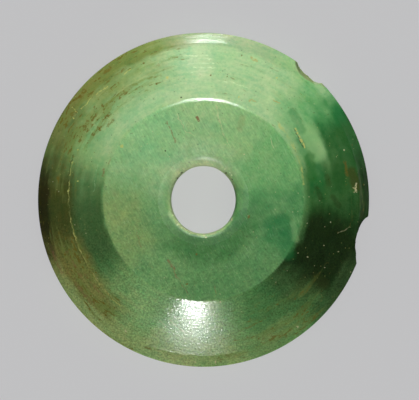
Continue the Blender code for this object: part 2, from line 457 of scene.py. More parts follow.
class WhorlSizes(bpy.types.PropertyGroup):
    """Sizes of the whorl's section and the fineness of its surface."""

    rim_diameter: length(
        "Rim diameter", (CAD_WIDTH + CAD_DEPTH) / 2, "Width over the rim before it is drawn out")
    rim_ovality: length(
        "Rim ovality", CAD_DEPTH - CAD_WIDTH, "How much longer the outline is along Y than along X")
    thickness: length("Thickness", CAD_HEIGHT, "Height of the upper face over the underside")
    hole_diameter: length("Hole diameter", 8.9 * MM, "Width of the spindle hole at its waist")
    lower_flare: length(
        "Lower flare", 0.3 * MM, "How much wider than the waist the hole's lower mouth is, in radius")
    upper_flare: length(
        "Upper flare", 0.12 * MM, "How much wider than the waist the hole's upper mouth is, in radius")
    waist_radius: length("Waist radius", 3.0 * MM, "Rounding of the hole's waist")
    far_lip_radius: length("Far lip radius", 1.85 * MM, "Rounding of the hole's upper mouth at its +Y side")
    near_lip_radius: length(
        "Near lip radius", 0.45 * MM, "Rounding of the hole's upper mouth at its -Y side")
    hole_stretch: length("Hole stretch", 0.09 * MM, "How far the mouth's radius along Y exceeds the mean")
    lower_lip_radius: length("Lower lip radius", 0.9 * MM, "Rounding of the hole's lower mouth")
    face_diameter: length("Face diameter", 27.0 * MM, "Width of the flat upper face")
    face_offset: length(
        "Face offset", 0.13 * MM, "How much nearer the axis the face's edge is at its +Y side")
    far_shoulder_radius: length(
        "Far shoulder radius", 1.6 * MM, "Rounding between face and flank at the +Y side")
    near_shoulder_radius: length(
        "Near shoulder radius", 0.5 * MM, "Rounding between face and flank at the -Y side")
    flank_swell: length("Flank swell", 0.15 * MM, "How far the flank stands out from a straight slope")
    bevel_width: length("Bevel width", 1.45 * MM, "Width of the rim bevel seen from above")
    bevel_drop: length("Bevel drop", 1.35 * MM, "Height of the rim bevel")
    bevel_edge_radius: length("Bevel edge radius", 0.3 * MM, "Rounding between the flank and the bevel")
    band_height: length("Band height", 1.2 * MM, "Height of the upright band at the rim")
    band_level: length("Band level", 2.0 * MM, "Height of the foot of the upright band")
    band_edge_radius: length("Band edge radius", 0.3 * MM, "Rounding of both edges of the band")
    foot_bevel_width: length("Foot bevel width", 1.3 * MM, "Width of the bevel under the band")
    foot_edge_radius: length(
        "Foot edge radius", 0.6 * MM, "Rounding between the under-bevel and the underside")
    wave_height: length("Wave height", 0.02 * MM, "Height of the flank's slight unevenness")
    groove_depth: length("Groove depth", 0.05 * MM, "Depth of the groove in the left flank")
    scar_relief: length("Scar relief", 0.09 * MM, "Roughness of the broken faces")
    turn_steps: IntProperty(
        name="Steps round", description="Points round the whorl", default=640, min=96)


class StoneColours(bpy.types.PropertyGroup):
    """Colours of the polished stone and of what lies in it."""

    # Jade and fern make the ground, darker towards -Y: partly the stone's own colour, partly painted shade
    # away from the lamps on the +Y side
    jade: tone("Jade", (0.292, 0.528, 0.210), "Ground of the upper part of the stone")
    fern: tone("Fern", (0.106, 0.282, 0.086), "Ground of the lower part of the stone")
    mint: tone("Mint", (0.382, 0.575, 0.286), "Palest clouds")
    leaf: tone("Leaf", (0.268, 0.460, 0.168), "Fresh green of the lower flank")
    moss: tone("Moss", (0.235, 0.360, 0.114), "Yellowish green on the left")
    # Forest and night are deep greens of the stone, laid partly as painted shade on the dark flanks at the
    # sides
    forest_and_shade: tone("Forest", (0.062, 0.135, 0.038), "Deep green of the sides")
    pine: tone("Pine", (0.025, 0.120, 0.022), "Deep green at the right")
    emerald: tone("Emerald", (0.012, 0.185, 0.042), "Clearest green")
    clover: tone("Clover", (0.095, 0.385, 0.110), "Fresh green at the right of the face")
    night_and_shade: tone("Night", (0.009, 0.025, 0.003), "Nearly black green")
    olive: tone("Olive", (0.195, 0.262, 0.060), "Olive staining")
    umber: tone("Umber", (0.064, 0.076, 0.012), "Brown staining at the rim")
    russet: tone("Russet", (0.238, 0.242, 0.060), "Warm brown staining")
    char: tone("Char", (0.022, 0.022, 0.003), "Blackest staining")
    pear: tone("Pear", (0.312, 0.428, 0.152), "Pale yellowish green of the lower rim")
    spruce: tone("Spruce", (0.030, 0.165, 0.028), "Deep green under the hole")
    # Sage is partly a painted highlight on the upper rim
    sage_and_sheen: tone("Sage", (0.335, 0.425, 0.248), "Greyer green of the upper rim")
    meadow: tone("Meadow", (0.190, 0.550, 0.230), "Clear green of the face's upper left")
    # Lime is painted light: the glowing edge of the hole, and glints at its lip and on the upper flank
    lime_painted_light: tone("Lime", (0.740, 0.860, 0.480), "Light edge of the hole")
    rust: tone("Rust", (0.162, 0.118, 0.016), "Rust-brown specks and streaks")
    cream: tone("Cream", (0.640, 0.600, 0.330), "Pale specks and scratches")
    clay: tone("Clay", (0.260, 0.130, 0.060), "Reddish veins")
    straw: tone("Straw", (0.560, 0.560, 0.160), "Yellow scratches and inclusions")
    ochre: tone("Ochre", (0.460, 0.350, 0.100), "Orange flecks")
    bark: tone("Bark", (0.240, 0.330, 0.118), "Olive-brown broken face")


class PolishSettings(bpy.types.PropertyGroup):
    """Grain, turning marks and depth of the polished surface."""

    grain_size: length("Grain size", 0.26 * MM, "Width of the grain in the polish")
    grain_relief: length("Grain relief", 0.0180 * MM, "Height of the grain")
    ring_relief: length("Ring relief", 0.014 * MM, "Height of the turning marks")
    unevenness: length("Unevenness", 0.010 * MM, "Height of the broad unevenness")
    scratch_depth: length("Scratch depth", 0.0020 * MM, "Depth of the stray scratches")
    roughness: number("Roughness", 0.11, "Roughness of the polish")
    glow: number("Glow", 0.5, "Share of light that goes through the stone's skin")


class StudioSettings(bpy.types.PropertyGroup):
    """The camera and the light round the whorl."""

    lens: number("Lens", 600.0, "Focal length in millimetres")
    picture_scale: length("Picture scale", 0.13537 * MM, "What one pixel covers at the rim")
    floor_glow: number("Floor glow", 0.488, "Brightness of the pale floor")
    room_light: number("Room light", 0.05, "Brightness of the dim room round the studio")


# Section and surface

def unit(vector):
    """The vector at length one."""
    return vector / np.linalg.norm(vector)


def fillet(before, corner, after, radius, steps):
    """Points of the arc of that radius that is tangent to both sides of a corner.

    The centre lies on the bisector, radius / sin(half the opening) from the corner, and the
    arc turns through what the opening leaves of half a turn.
    """
    to_before = unit(before - corner)
    to_after = unit(after - corner)
    half_opening = np.arccos(to_before @ to_after) / 2
    centre = corner + unit(to_before + to_after) * radius / np.sin(half_opening)
    first = corner + to_before * radius / np.tan(half_opening) - centre
    side = np.sign(to_after[0] * to_before[1] - to_after[1] * to_before[0])
    turn = np.linspace(0.0, side * (np.pi - 2 * half_opening), steps + 1)
    across = np.array([-first[1], first[0]])
    return centre + np.outer(np.cos(turn), first) + np.outer(np.sin(turn), across)


def swelling(start, end, swell, share):
    """Points at those shares of a chord, raised onto the arc that stands out from it by swell.

    The arc's radius is (chord^2 / 4 + swell^2) / (2 swell), and a point's rise is the height
    of that arc over the chord there.
    """
    chord = end - start
    span = np.linalg.norm(chord)
    radius = (span * span / 4 + swell * swell) / (2 * swell)
    offset = span * (share - 0.5)
    rise = np.sqrt(radius * radius - offset * offset) - (radius - swell)
    outwards = np.array([-chord[1], chord[0]]) / span
    return start + np.outer(share, chord) + np.outer(rise, outwards)


def between(start, end, count):
    """Points strictly between two ends, evenly spaced."""
    share = np.linspace(0.0, 1.0, count + 2)[1:-1]
    return start + np.outer(share, end - start)


def half_section(sizes, face_radius, lip_radius, shoulder_radius):
    """The closed outline of half the section, as (distance from the axis, height).

    It runs from the waist of the hole up over its lip to the upper face, out and down the
    flank and the rim, and back under the foot. Straight runs join the arcs that round its
    corners, and the flank's points lie closer at the groove.
    """
    waist = sizes.hole_diameter / 2
    rim = sizes.rim_diameter / 2
    band_top = sizes.band_level + sizes.band_height
    waist_corner = np.array([waist, sizes.thickness / 2])
    upper_mouth = np.array([waist + sizes.upper_flare, sizes.thickness])
    shoulder = np.array([face_radius, sizes.thickness])
    bevel_edge = np.array([rim - sizes.bevel_width, band_top + sizes.bevel_drop])
    band_head = np.array([rim, band_top])
    band_foot = np.array([rim, sizes.band_level])
    foot_edge = np.array([rim - sizes.foot_bevel_width, 0.0])
    lower_mouth = np.array([waist + sizes.lower_flare, 0.0])
    flank = swelling(shoulder, bevel_edge, sizes.flank_swell, FLANK_SHARES)
    arcs = [
        fillet(lower_mouth, waist_corner, upper_mouth, sizes.waist_radius, EDGE_STEPS),
        fillet(waist_corner, upper_mouth, shoulder, lip_radius, LIP_STEPS),
        fillet(upper_mouth, shoulder, flank[0], shoulder_radius, SHOULDER_STEPS),
        flank,
        fillet(flank[-1], bevel_edge, band_head, sizes.bevel_edge_radius, EDGE_STEPS),
        fillet(bevel_edge, band_head, band_foot, sizes.band_edge_radius, EDGE_STEPS),
        fillet(band_head, band_foot, foot_edge, sizes.band_edge_radius, EDGE_STEPS),
        fillet(band_foot, foot_edge, lower_mouth, sizes.foot_edge_radius, EDGE_STEPS),
        fillet(foot_edge, lower_mouth, waist_corner, sizes.lower_lip_radius, SHOULDER_STEPS),
    ]
    points = []
    for arc, following, run in zip(arcs, arcs[1:] + arcs[:1], RUN_POINTS):
        points += [arc, between(arc[-1], following[0], run)]
    return np.concatenate(points)


def turn_apart(azimuth, other):
    """How far apart two directions are, in degrees, the short way round."""
    return np.abs((azimuth - other + 180) % 360 - 180)


def turn_angles(steps):
    """Angles round the whorl, three times as close beside the chips as elsewhere.

    The density along the turn is 1, and 3 inside a soft window round each chip. Its running
    total over tenths of a degree, cut into equal steps, gives the angles.
    """
    fine = np.linspace(0.0, 2 * np.pi, 3601)
    density = np.ones_like(fine)
    rim_radius = 22.5
    margin = 1.5
    fade = 2
    for bite in CHIPS:
        reach = np.degrees(bite.half_along / rim_radius) + margin
        window = (reach + fade - turn_apart(np.degrees(fine), bite.azimuth)) / fade
        density = np.maximum(density, 1 + 2 * np.clip(window, 0, 1))
    total = np.concatenate([[0.0], np.cumsum(density[1:])])
    return np.interp(np.arange(steps) / steps * total[-1], total, fine)


def lumps(points, size, seed):
    """Smooth random numbers from -1 to 1 that change over about that size.

    Random numbers stand on a cubic lattice, and each point blends the eight round it with
    the S-curve 3 t^2 - 2 t^3 of its place between them.
    """
    count = 32
    lattice = np.random.default_rng(seed).uniform(-1.0, 1.0, (count, count, count))
    cell = points / size
    base = np.floor(cell).astype(int)
    share = cell - base
    share = share * share * (3 - 2 * share)
    total = np.zeros(points.shape[:-1])
    for corner in np.ndindex(2, 2, 2):
        weight = np.prod(np.where(corner, share, 1 - share), axis=-1)
        spot = (base + corner) % count
        total += weight * lattice[spot[..., 0], spot[..., 1], spot[..., 2]]
    return total


def soft_step(value, edge, softness):
    """0 below the edge and 1 above it, with the S-curve 3 t^2 - 2 t^3 over the softness."""
    share = np.clip((value - edge) / softness + 0.5, 0.0, 1.0)
    return share * share * (3 - 2 * share)


def entered_radius(azimuth, height, bite, sizes):
    """The radius at which the ray from the axis enters a bite's ellipsoid, or infinity.

    The ray at an angle a from the bite's direction, at height z, meets the ellipsoid where
    (r cos a - d)^2 / inward^2 + (r sin a)^2 / along^2 + (z - level)^2 / upward^2 = 1. This
    is a quadratic in r, whose smaller root is the way in.
    """
    inward, along, upward = bite.half_inward * MM, bite.half_along * MM, bite.half_upward * MM
    reach = sizes.rim_diameter / 2 - bite.depth * MM + inward
    level = sizes.band_level + bite.rise * MM
    apart = azimuth - np.radians(bite.azimuth)
    square = (np.cos(apart) / inward) ** 2 + (np.sin(apart) / along) ** 2
    linear = -2 * np.cos(apart) * reach / inward ** 2
    constant = (reach / inward) ** 2 + ((height - level) / upward) ** 2 - 1
    discriminant = linear ** 2 - 4 * square * constant
    meets = (discriminant > 0) & (np.cos(apart) > 0)
    root = (-linear - np.sqrt(np.maximum(discriminant, 0.0))) / (2 * square)
    return np.where(meets, root, np.inf)


def ring_places(azimuth, radius, turn):
    """Places for patterns drawn out round the hole: a circle of radius turn, and the radius."""
    azimuth, radius = np.broadcast_arrays(azimuth, radius)
    return np.stack([turn * np.cos(azimuth), turn * np.sin(azimuth), radius], axis=-1)


def groove_depth(azimuth, radius):
    """How deep the groove in the left flank is, from 0 to 1.

    It is a V about a circle that wanders a little, faded out at both ends of its stretch.
    """
    degrees = np.degrees(azimuth) % 360
    wander = lumps(ring_places(azimuth, np.zeros_like(radius), 20 * MM), 3.0 * MM, seed=12)
    middle = GROOVE_RADIUS + GROOVE_WANDER * wander
    across = np.clip(1 - np.abs(radius - middle) / GROOVE_HALF_WIDTH, 0.0, 1.0)
    along = soft_step(degrees, GROOVE_FIRST, GROOVE_FADE) * soft_step(-degrees, -GROOVE_LAST, GROOVE_FADE)
    return across * along


def whorl_surface(sizes):
    """Points of the whorl on a grid of (angle, section), and how much each lies in a break.

    The section is blended between that of the near side and that of the far one, which is
    rounded more, with (1 + sin angle) / 2.
    """
    face = sizes.face_diameter / 2
    near = half_section(sizes, face, sizes.near_lip_radius, sizes.near_shoulder_radius)
    far = half_section(sizes, face - sizes.face_offset, sizes.far_lip_radius, sizes.far_shoulder_radius)
    azimuth = turn_angles(sizes.turn_steps)[:, None]
    share = (1 + np.sin(azimuth)) / 2
    radius = near[:, 0] * (1 - share) + far[:, 0] * share
    height = near[:, 1] * (1 - share) + far[:, 1] * share
    rim = sizes.rim_diameter / 2
    # The hole is a little longer along Y, and its edge wavers
    at_hole = soft_step(-radius, -5.4 * MM, 1.6 * MM)
    waver = lumps(ring_places(azimuth, height, RING_RADIUS), 1.4 * MM, seed=3)
    nicks = np.abs(lumps(ring_places(azimuth, height, RING_RADIUS), 0.4 * MM, seed=13))
    nicks = nicks * soft_step(height, sizes.thickness - 1.0 * MM, 1.0 * MM)
    waver = EDGE_WAVER * waver + NICK_DEPTH * nicks
    radius += at_hole * (waver - sizes.hole_stretch * np.cos(2 * azimuth))
    # The bevel's inner line is a circle set a little off the centre
    edge = rim - sizes.bevel_width
    drift = BEVEL_DRIFT[0] * np.cos(azimuth) + BEVEL_DRIFT[1] * np.sin(azimuth)
    upper = height > sizes.band_level + sizes.band_height
    beside = np.where(radius < edge, soft_step(radius, edge - 1.5 * MM, 3.0 * MM),
                      soft_step(-radius, -(edge + rim) / 2, sizes.bevel_width))
    beside = beside * upper
    radius += drift * beside
    height -= RIM_FALL * drift * beside
    # The flank is slightly uneven, and a groove runs along its left side
    on_flank = upper * soft_step(radius, face + 0.8 * MM, 1.0 * MM)
    on_flank = on_flank * soft_step(-radius, -edge, 1.0 * MM)
    places = np.stack([radius * np.cos(azimuth), radius * np.sin(azimuth), height], axis=-1)
    waves = lumps(places, 3.4 * MM, seed=1) + 0.3 * lumps(places, 1.2 * MM, seed=2) - 1.0
    height += on_flank * (sizes.wave_height * waves - sizes.groove_depth * groove_depth(azimuth, radius))
    # Chips, with slightly rough broken faces
    scar = np.abs(lumps(places, 0.9 * MM, seed=4)) + 0.4 * np.abs(lumps(places, 0.35 * MM, seed=14))
    breaks = np.zeros_like(radius)
    for bite in CHIPS:
        way_in = entered_radius(azimuth, height, bite, sizes) - sizes.scar_relief * scar
        inside = way_in < radius
        breaks = np.where(inside, 1.0, breaks)
        radius = np.where(inside, way_in, radius)
    stretch = sizes.rim_ovality / (2 * sizes.rim_diameter)
    x = radius * np.cos(azimuth) * (1 - stretch)
    y = radius * np.sin(azimuth) * (1 + stretch)
    return np.stack([x, y, height], axis=-1), breaks


def grid_mesh(name, points):
    """A closed mesh of a grid of points that joins up both ways, its faces turned outwards."""
    turns, steps = points.shape[:2]
    here = np.arange(turns * steps).reshape(turns, steps)
    along = np.roll(here, -1, axis=1)
    faces = np.stack([here, along, np.roll(along, -1, axis=0), np.roll(here, -1, axis=0)], axis=-1)
    mesh = bpy.data.meshes.new(name)
    mesh.from_pydata(points.reshape(-1, 3).tolist(), [], faces.reshape(-1, 4).tolist())
    mesh.shade_smooth()
    mesh.set_sharp_from_angle(angle=np.radians(SHARP_ANGLE))
    return mesh


def laid_over(cloud, azimuth, radius):
    """How much of a cloud lies on each point, from 0 to its strength.

    It is the product of three soft steps: in at its inner radius, out at its outer radius,
    and off at its half turn to either side.
    """
    amount = (soft_step(-turn_apart(azimuth, cloud.azimuth), -cloud.half_turn, cloud.turn_edge)
              * soft_step(radius, cloud.inner * MM, cloud.inner_edge * MM)
              * soft_step(-radius, -cloud.outer * MM, cloud.outer_edge * MM))
    return cloud.strength * amount


def polar(points):
    """The direction of each point from the axis, as an angle, and its distance."""
    return np.arctan2(points[..., 1], points[..., 0]), np.hypot(points[..., 0], points[..., 1])


def painted_colour(points, breaks, colours, shoulder):
    """The stone's broad colour at each point: its ground, with every cloud laid over in turn.

    The ground turns from fern to jade up the Y axis. The places are shifted by smooth random
    numbers first, so that every border wanders, and each border is frayed by finer ones that
    are drawn out round the hole on the flank. A frayed amount a becomes
    a + 0.55 a (1 - a) times the fine random number.
    """
    turn, radius = polar(points)
    azimuth = np.degrees(turn)
    on_flank = soft_step(radius, shoulder, 0.35 * MM)
    # Clouds kept to the flank stop at the shoulder, and so does the painted shade of the dark sides
    sides = {"flank": on_flank, "face": 1 - on_flank, "break": breaks}
    streaky = lumps(ring_places(turn, radius, RING_RADIUS), 0.5 * MM, seed=11)
    frayed = np.where(on_flank > 0.5, streaky, lumps(points, 0.9 * MM, seed=9))
    frayed = frayed + 0.6 * lumps(points, 0.5 * MM, seed=10)
    wander = lumps(points, 2.6 * MM, seed=5) + 0.5 * lumps(points, 0.9 * MM, seed=6)
    sway = lumps(points, 3.1 * MM, seed=7) + 0.5 * lumps(points, 1.1 * MM, seed=8)
    azimuth = azimuth + TURN_WANDER * wander * 10 * MM / np.maximum(radius, 4 * MM)
    radius = radius + RADIUS_WANDER * sway
    # The ground darkens towards -Y, partly as painted shade away from the lamps on the +Y side
    share = soft_step(points[..., 1] + GROUND_WANDER * wander, 1 * MM, 26 * MM)[..., None]
    colour = np.array(colours.fern) * (1 - share) + np.array(colours.jade) * share
    for side, patches in PATCHES.items():
        for name, *cloud in patches:
            amount = laid_over(Cloud(*cloud), azimuth, radius) * sides[side]
            amount = np.clip(amount + FRAYING * amount * (1 - amount) * frayed, 0.0, 1.0)
            colour += amount[..., None] * (np.array(getattr(colours, name)) - colour)
    return colour


def stain_amounts(points, breaks):
    """Where rust specks gather, where the hole's lip is and where the rim is broken."""
    turn, radius = polar(points)
    rust = np.zeros_like(radius)
    for cloud in RUST_CLOUDS:
        rust = np.maximum(rust, laid_over(Cloud(*cloud), np.degrees(turn), radius))
    inner = soft_step(-radius, -6.15 * MM, 2.6 * MM)
    return np.stack([rust, inner, breaks], axis=-1)


def paint(mesh, name, colour):
    """Keep a colour for each point of the mesh."""
    flat = colour.reshape(-1, colour.shape[-1])
    rgba = np.concatenate([flat, np.ones((len(flat), 4 - flat.shape[1]))], axis=1)
    layer = mesh.attributes.new(name, "FLOAT_COLOR", "POINT")
    layer.data.foreach_set("color", rgba.astype(np.float32).ravel())


# Shader

def set_inputs(node, values):
    """Set a node's sockets, by name."""
    for name, value in values.items():
        node.inputs[name].default_value = value


class Bench:
    """Adds shader nodes to one node tree and links them as it goes."""

    def __init__(self, tree):
        self.tree = tree

    def put(self, socket, value):
        """Link a socket to another, or set its value."""
        if isinstance(value, bpy.types.NodeSocket):
            self.tree.links.new(value, socket)
        elif value is not None:
            socket.default_value = value

    def node(self, kind, *inputs, **settings):
        """A node with those settings. Inputs are sockets or values, in the node's order."""
        node = self.tree.nodes.new(kind)
        for name, value in settings.items():
            setattr(node, name, value)
        for socket, value in zip(node.inputs, inputs):
            self.put(socket, value)
        return node

    def maths(self, operation, *values):
        """The result of one Math node."""
        return self.node("ShaderNodeMath", *values, operation=operation).outputs["Value"]

    def measure(self, operation, *values):
        """The number that one Vector Math node gives, such as a length or a dot product."""
        return self.node("ShaderNodeVectorMath", *values, operation=operation).outputs["Value"]

    def vector(self, operation, *values):
        """The vector result of one Vector Math node."""
        return self.node("ShaderNodeVectorMath", *values, operation=operation).outputs["Vector"]

    def scaled(self, colour, factor):
        """A colour or vector times a number."""
        return self.vector("SCALE", colour, None, None, factor)

    def step(self, value, low, high, to_low=0.0, to_high=1.0):
        """A smooth step between two values, which may be given the wrong way round."""
        node = self.node("ShaderNodeMapRange", value, low, high, to_low, to_high,
                         interpolation_type="SMOOTHSTEP", clamp=False)
        return node.outputs["Result"]

    def noise(self, place, size, detail=2.0, roughness=0.5):
        """Smooth noise from 0 to 1 that changes over about that size."""
        return self.node("ShaderNodeTexNoise", place, None, 1 / size, detail, roughness).outputs["Fac"]

    def blend(self, share, colour, tint):
        """A colour with that share of a plain tint in it."""
        node = self.node("ShaderNodeMix", data_type="RGBA")
        for name, value in (("Factor", share), ("A", colour), ("B", (*tint, 1.0))):
            self.put(node.inputs[name], value)
        return node.outputs["Result"]

    def swing(self, *parts):
        """The sum of noises from 0 to 1, each taken about its middle and times its weight."""
        total = -0.5 * sum(weight for noise, weight in parts)
        for noise, weight in parts:
            total = self.maths("MULTIPLY_ADD", noise, weight, total)
        return total

    def stretched(self, place, degrees, along, across):
        """Places measured in lengths along a direction and in widths across it."""
        node = self.node("ShaderNodeMapping", place, None, (0.0, 0.0, np.radians(degrees)),
                         (along, across, along), vector_type="TEXTURE")
        return node.outputs["Vector"]


class StonePlaces:
    """The places that the patterns of the stone are measured from."""

    def __init__(self, bench):
        self.place = bench.node("ShaderNodeTexCoord").outputs["Object"]
        level = bench.vector("MULTIPLY", self.place, (1.0, 1.0, 0.0))
        self.direction = bench.vector("NORMALIZE", level)
        parts = bench.node("ShaderNodeSeparateXYZ", self.direction).outputs
        self.cosine, self.sine = parts["X"], parts["Y"]
        self.radius = bench.measure("LENGTH", level)
        self.on_flank = bench.step(self.radius, 13.5 * MM, 13.8 * MM)
        painted = bench.node("ShaderNodeAttribute", attribute_name="stains").outputs["Color"]
        amounts = bench.node("ShaderNodeSeparateColor", painted).outputs
        self.rust, self.inner, self.broken = amounts["Red"], amounts["Green"], amounts["Blue"]
        # Marks are drawn on places that waver, so that no line is ruled
        waver = bench.node("ShaderNodeTexNoise", level, None, 1 / (0.7 * MM))
        shift = bench.vector("SUBTRACT", waver.outputs["Color"], (0.5, 0.5, 0.5))
        shift = bench.vector("MULTIPLY", shift, (0.6 * MM, 0.6 * MM, 0.0))
        self.wavering = bench.vector("ADD", level, shift)
        self.wavering_radius = bench.measure("LENGTH", self.wavering)

    def rings(self, bench, turns, width):
        """Places for streaks that run round the hole: how far round, and widths outwards."""
        outwards = bench.maths("DIVIDE", self.radius, width)
        round_x, round_y = (bench.maths("MULTIPLY", part, turns) for part in (self.cosine, self.sine))
        return bench.node("ShaderNodeCombineXYZ", round_x, round_y, outwards).outputs["Vector"]


def tinted(bench, colour, share, tint):
    """A colour times (1 + share * tint), for a share that runs from below 0 to above 0."""
    factor = bench.vector("ADD", bench.scaled(tint, share), (1.0, 1.0, 1.0))
    return bench.vector("MULTIPLY", colour, factor)


def ground_colour(bench, places):
    """The painted colour, with clouds, mottles, fibres and fine grain in it.

    Clouds and mottles turn it yellower or bluer, and fibres, rings and grain lighter or darker.
    """
    stone = bench.node("ShaderNodeAttribute", attribute_name="stone_colour").outputs["Color"]
    clouds = bench.noise(places.place, 2.6 * MM, 3.0, 0.6)
    mottles = bench.noise(places.place, 0.55 * MM, 2.0, 0.6)
    streaks = bench.noise(places.rings(bench, 4.0, 0.50 * MM), 1.0, 2.0, 0.6)
    fibres = bench.noise(bench.stretched(places.place, -60, 1.1 * MM, 0.22 * MM), 1.0, 2.0)
    grain = bench.noise(places.place, 0.24 * MM, 1.0, 0.6)
    on_face = bench.maths("SUBTRACT", 1.0, places.on_flank)
    along = bench.maths("MULTIPLY", bench.maths("SUBTRACT", streaks, 0.5), places.on_flank)
    hue = bench.maths("MULTIPLY_ADD", along, 1.15, bench.swing((clouds, 1.4), (mottles, 1.1)))
    stone = tinted(bench, stone, hue, (0.42, 0.04, 0.10))
    value = bench.swing((clouds, 0.20), (mottles, 0.20))
    # Grain is stronger towards -Y and on the lower flank, partly as painted glints of the polish
    northing = bench.node("ShaderNodeSeparateXYZ", places.place).outputs["Y"]
    speckle_and_glint = bench.step(northing, 4 * MM, -12 * MM, 0.34, 1.10)
    more = bench.step(northing, 2 * MM, -8 * MM, -0.14, 0.45)
    speckle_and_glint = bench.maths("MULTIPLY_ADD", more, places.on_flank, speckle_and_glint)
    value = bench.maths("MULTIPLY_ADD", bench.maths("SUBTRACT", grain, 0.5), speckle_and_glint, value)
    value = bench.maths("MULTIPLY_ADD", along, 0.08, value)
    strands = bench.maths("MULTIPLY", bench.maths("SUBTRACT", fibres, 0.5), on_face)
    value = bench.maths("MULTIPLY_ADD", strands, 0.50, value)
    stone = tinted(bench, stone, value, (1.0, 1.0, 1.0))
    # Pale hairlines on the face, partly fibres of the stone and partly painted glints of the polish
    hairs_and_glints = bench.noise(bench.stretched(places.place, -62, 0.9 * MM, 0.15 * MM), 1.0, 0.0)
    hairs_and_glints = bench.maths("MULTIPLY", bench.step(hairs_and_glints, 0.60, 0.80), on_face)
    return bench.vector("ADD", stone, bench.scaled((0.050, 0.055, 0.040), hairs_and_glints))


def with_rust(bench, places, colours, colour):
    """Olive bands and rust flecks that run round the hole, thickest where the stain clouds are."""
    bands = bench.noise(places.rings(bench, 3.2, 0.75 * MM), 1.0, 3.0, 0.6)
    edge = bench.maths("MULTIPLY_ADD", places.rust, -0.16, 0.66)
    banded = bench.step(bench.maths("SUBTRACT", bands, edge), -0.05, 0.06)
    share = bench.maths("MULTIPLY", banded, bench.maths("MULTIPLY", places.rust, 0.60))
    colour = bench.blend(share, colour, colours.olive)
    flecks = bench.noise(places.rings(bench, 24.0, 0.28 * MM), 1.0, 2.0, 0.6)
    edge = bench.maths("MULTIPLY_ADD", banded, -0.11, 0.69)
    edge = bench.maths("MULTIPLY_ADD", places.rust, -0.04, edge)
    flecked = bench.step(bench.maths("SUBTRACT", flecks, edge), -0.01, 0.06)
    share = bench.maths("MULTIPLY", flecked, bench.maths("MULTIPLY_ADD", places.rust, 0.48, 0.34))
    return bench.blend(share, colour, colours.rust)


def with_specks(bench, places, colours, colour):
    """Small pale, yellow and dark specks, scattered one to a cell in a few of the cells."""
    for name, size, empty, width, strength in SPECKS:
        cells = bench.node("ShaderNodeTexVoronoi", places.place, None, 1 / (size * MM), feature="F1")
        chosen = bench.node("ShaderNodeSeparateColor", cells.outputs["Color"]).outputs["Red"]
        spot = bench.step(cells.outputs["Distance"], width, width * 0.4, 0.0, strength)
        share = bench.maths("MULTIPLY", spot, bench.maths("GREATER_THAN", chosen, empty))
        colour = bench.blend(share, colour, getattr(colours, name))
    return colour


def stroke_amount(bench, places, stroke):
    """How much of a stroke lies at a place, from 0 to its strength.

    The place is projected on the stroke's line and kept between its ends. The amount falls
    off over the distance from the nearest spot of the line.
    """
    start = Vector((stroke.start_x, stroke.start_y, 0.0)) * MM
    along = Vector((stroke.end_x, stroke.end_y, 0.0)) * MM - start
    offset = bench.vector("SUBTRACT", places.wavering, tuple(start))
    share = bench.measure("DOT_PRODUCT", offset, tuple(along / along.length_squared))
    share = bench.maths("MAXIMUM", bench.maths("MINIMUM", share, 1.0), 0.0)
    nearest = bench.scaled(tuple(along), share)
    gap = bench.measure("LENGTH", bench.vector("SUBTRACT", offset, nearest))
    return bench.step(gap, 0.6 * stroke.width * MM, 0.2 * stroke.width * MM, 0.0, stroke.strength)


def fleck_amount(bench, places, fleck):
    """How much of a small round fleck, given as x, y and its width, lies at a place."""
    x, y, width = fleck
    gap = bench.measure("DISTANCE", places.wavering, (x * MM, y * MM, 0.0))
    return bench.step(gap, 0.6 * width * MM, 0.25 * width * MM, 0.0, 0.85)


def streak_amount(bench, places, streak):
    """How much of a streak lies at a place, from 0 to its strength.

    The angle from the streak's middle gives the radius of its line there. The amount falls
    off over the distance from that radius and past both ends.
    """
    middle = np.radians((streak.first + streak.last) / 2)
    half = np.radians((streak.last - streak.first) / 2)
    ahead = bench.measure("DOT_PRODUCT", places.direction, (np.cos(middle), np.sin(middle), 0.0))
    aside = bench.measure("DOT_PRODUCT", places.direction, (-np.sin(middle), np.cos(middle), 0.0))
    angle = bench.maths("ARCTAN2", aside, ahead)
    slope = (streak.last_radius - streak.first_radius) * MM / (2 * half)
    line = bench.maths("MULTIPLY_ADD", angle, slope, (streak.first_radius + streak.last_radius) / 2 * MM)
    gap = bench.maths("ABSOLUTE", bench.maths("SUBTRACT", places.wavering_radius, line))
    across = bench.step(gap, 0.6 * streak.width * MM, 0.2 * streak.width * MM, 0.0, streak.strength)
    within = bench.step(bench.maths("ABSOLUTE", angle), half, half * 0.9)
    return bench.maths("MULTIPLY", across, within)


def with_marks(bench, places, colours, colour):
    """Every streak, stroke and fleck, one colour after another, broken up by fine noise."""
    ragged = bench.step(bench.noise(places.place, 0.32 * MM, 1.0), 0.36, 0.50, 0.25, 1.0)
    patchy = bench.step(bench.noise(places.place, 1.1 * MM, 1.0), 0.38, 0.60, 0.25, 1.1)
    for name in MARK_COLOURS:
        most = 0.0
        for kind, rows, measured in ((Streak, STREAKS, streak_amount), (Stroke, STROKES, stroke_amount)):
            for row in rows.get(name, ()):
                mark = kind(*row)
                amount = measured(bench, places, mark)
                if mark.width < BROKEN_BELOW:
                    amount = bench.maths("MULTIPLY", amount, ragged)
                if kind is Streak:
                    amount = bench.maths("MULTIPLY", amount, patchy)
                most = bench.maths("MAXIMUM", most, amount)
        for fleck in FLECKS.get(name, ()):
            most = bench.maths("MAXIMUM", most, fleck_amount(bench, places, fleck))
        colour = bench.blend(most, colour, getattr(colours, name))
    return colour


